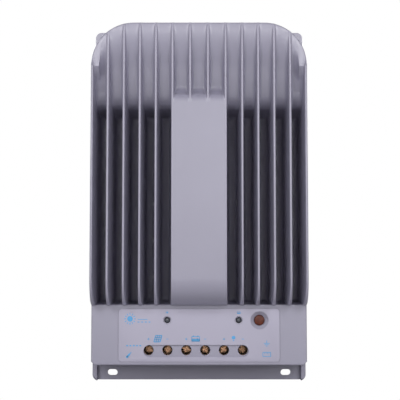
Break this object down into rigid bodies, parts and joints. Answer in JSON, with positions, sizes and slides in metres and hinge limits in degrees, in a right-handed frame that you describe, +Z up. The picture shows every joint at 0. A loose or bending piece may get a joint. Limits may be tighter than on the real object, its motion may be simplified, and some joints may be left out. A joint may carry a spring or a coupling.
{
  "type": "solar charge controller",
  "caption": "Wall-mounted solar charge controller with a finned die-cast housing, a printed label, a test button, indicator lamps and a row of screw terminals in round wells.",
  "frame": {"origin": "centre of the back cover's rear face, in the plane of the wall that the unit hangs on", "axes": "+Z up the wall as installed, terminals at the bottom; +Y into the wall; +X to the right as seen from the front"},
  "size_m": [0.182, 0.0635, 0.3026],
  "materials": {
    "housing_paint": "satin grey-lavender powder coat over die-cast aluminium",
    "cover_sheet": "brushed sheet",
    "label_film": "fine matt film",
    "button_plastic": "translucent reddish brown",
    "lamp_lens": "smoked diffuse lens",
    "terminal_brass": "plated",
    "zinc_steel": "zinc plated",
    "contact_copper": "tinned copper",
    "black_plastic": "moulded",
    "green_plastic": "moulded",
    "circuit_board": "solder mask",
    "winding": "enamelled copper wire",
    "sleeve": "shrink sleeve",
    "silicone": "matt pad"
  },
  "bodies": {
    "root": {"heatsink_housing": "housing_paint", "back_cover": "cover_sheet", "front_label": "label_film", "tact_switch": "black_plastic", "indicator_board": "circuit_board", "led_pv": "lamp_lens", "led_battery": "lamp_lens", "terminal_block": "black_plastic", "main_board": "circuit_board", "inductor_1": "winding", "inductor_2": "winding", "clamp_bar_left": "zinc_steel", "clamp_bar_right": "zinc_steel", "thermal_pad_left": "silicone", "thermal_pad_right": "silicone", "com_jack": "black_plastic", "probe_socket": "green_plastic", "control_chip": "black_plastic", "board_header": "black_plastic", "contact_bar_1": "contact_copper", "cover_screw_1": "zinc_steel", "contact_bar_2": "contact_copper", "cover_screw_2": "zinc_steel", "contact_bar_3": "contact_copper", "cover_screw_3": "zinc_steel", "contact_bar_4": "contact_copper", "cover_screw_4": "zinc_steel", "contact_bar_5": "contact_copper", "cover_screw_5": "zinc_steel", "contact_bar_6": "contact_copper", "cover_screw_6": "zinc_steel", "mosfet_1": "black_plastic", "board_screw_1": "zinc_steel", "mosfet_2": "black_plastic", "board_screw_2": "zinc_steel", "mosfet_3": "black_plastic", "board_screw_3": "zinc_steel", "mosfet_4": "black_plastic", "board_screw_4": "zinc_steel", "capacitor_1": "sleeve", "capacitor_2": "sleeve", "capacitor_3": "sleeve", "indicator_screw_1": "zinc_steel", "indicator_screw_2": "zinc_steel"},
    "button": {"button_cap": "button_plastic", "switch_plunger": "black_plastic"},
    "screw_1": {"terminal_screw_1": "terminal_brass"},
    "cage_1": {"clamp_cage_1": "zinc_steel"},
    "screw_2": {"terminal_screw_2": "terminal_brass"},
    "cage_2": {"clamp_cage_2": "zinc_steel"},
    "screw_3": {"terminal_screw_3": "terminal_brass"},
    "cage_3": {"clamp_cage_3": "zinc_steel"},
    "screw_4": {"terminal_screw_4": "terminal_brass"},
    "cage_4": {"clamp_cage_4": "zinc_steel"},
    "screw_5": {"terminal_screw_5": "terminal_brass"},
    "cage_5": {"clamp_cage_5": "zinc_steel"},
    "screw_6": {"terminal_screw_6": "terminal_brass"},
    "cage_6": {"clamp_cage_6": "zinc_steel"}
  },
  "joints": [
    {"name": "button_press", "type": "slide", "parent": "root", "child": "button", "axis": [0, 1, 0], "range_m": [0, 0.0005], "stiffness_N_per_m": 4000},
    {"name": "screw_1_turn", "type": "hinge", "parent": "root", "child": "screw_1", "pos_m": [-0.04156, -0.0255, -0.1228], "axis": [0, -1, 0], "range_deg": [-1800, 0]},
    {"name": "cage_1_rise", "type": "slide", "parent": "root", "child": "cage_1", "axis": [0, -1, 0], "range_m": [0, 0.004]},
    {"name": "screw_2_turn", "type": "hinge", "parent": "root", "child": "screw_2", "pos_m": [-0.02603, -0.0255, -0.1228], "axis": [0, -1, 0], "range_deg": [-1800, 0]},
    {"name": "cage_2_rise", "type": "slide", "parent": "root", "child": "cage_2", "axis": [0, -1, 0], "range_m": [0, 0.004]},
    {"name": "screw_3_turn", "type": "hinge", "parent": "root", "child": "screw_3", "pos_m": [-0.01051, -0.0255, -0.1228], "axis": [0, -1, 0], "range_deg": [-1800, 0]},
    {"name": "cage_3_rise", "type": "slide", "parent": "root", "child": "cage_3", "axis": [0, -1, 0], "range_m": [0, 0.004]},
    {"name": "screw_4_turn", "type": "hinge", "parent": "root", "child": "screw_4", "pos_m": [0.00502, -0.0255, -0.1228], "axis": [0, -1, 0], "range_deg": [-1800, 0]},
    {"name": "cage_4_rise", "type": "slide", "parent": "root", "child": "cage_4", "axis": [0, -1, 0], "range_m": [0, 0.004]},
    {"name": "screw_5_turn", "type": "hinge", "parent": "root", "child": "screw_5", "pos_m": [0.02056, -0.0255, -0.1228], "axis": [0, -1, 0], "range_deg": [-1800, 0]},
    {"name": "cage_5_rise", "type": "slide", "parent": "root", "child": "cage_5", "axis": [0, -1, 0], "range_m": [0, 0.004]},
    {"name": "screw_6_turn", "type": "hinge", "parent": "root", "child": "screw_6", "pos_m": [0.03608, -0.0255, -0.1228], "axis": [0, -1, 0], "range_deg": [-1800, 0]},
    {"name": "cage_6_rise", "type": "slide", "parent": "root", "child": "cage_6", "axis": [0, -1, 0], "range_m": [0, 0.004]}
  ],
  "couplings": [
    {"joint": "screw_1_turn", "follows": "cage_1_rise", "rad_per_m": -7854},
    {"joint": "screw_2_turn", "follows": "cage_2_rise", "rad_per_m": -7854},
    {"joint": "screw_3_turn", "follows": "cage_3_rise", "rad_per_m": -7854},
    {"joint": "screw_4_turn", "follows": "cage_4_rise", "rad_per_m": -7854},
    {"joint": "screw_5_turn", "follows": "cage_5_rise", "rad_per_m": -7854},
    {"joint": "screw_6_turn", "follows": "cage_6_rise", "rad_per_m": -7854}
  ]
}
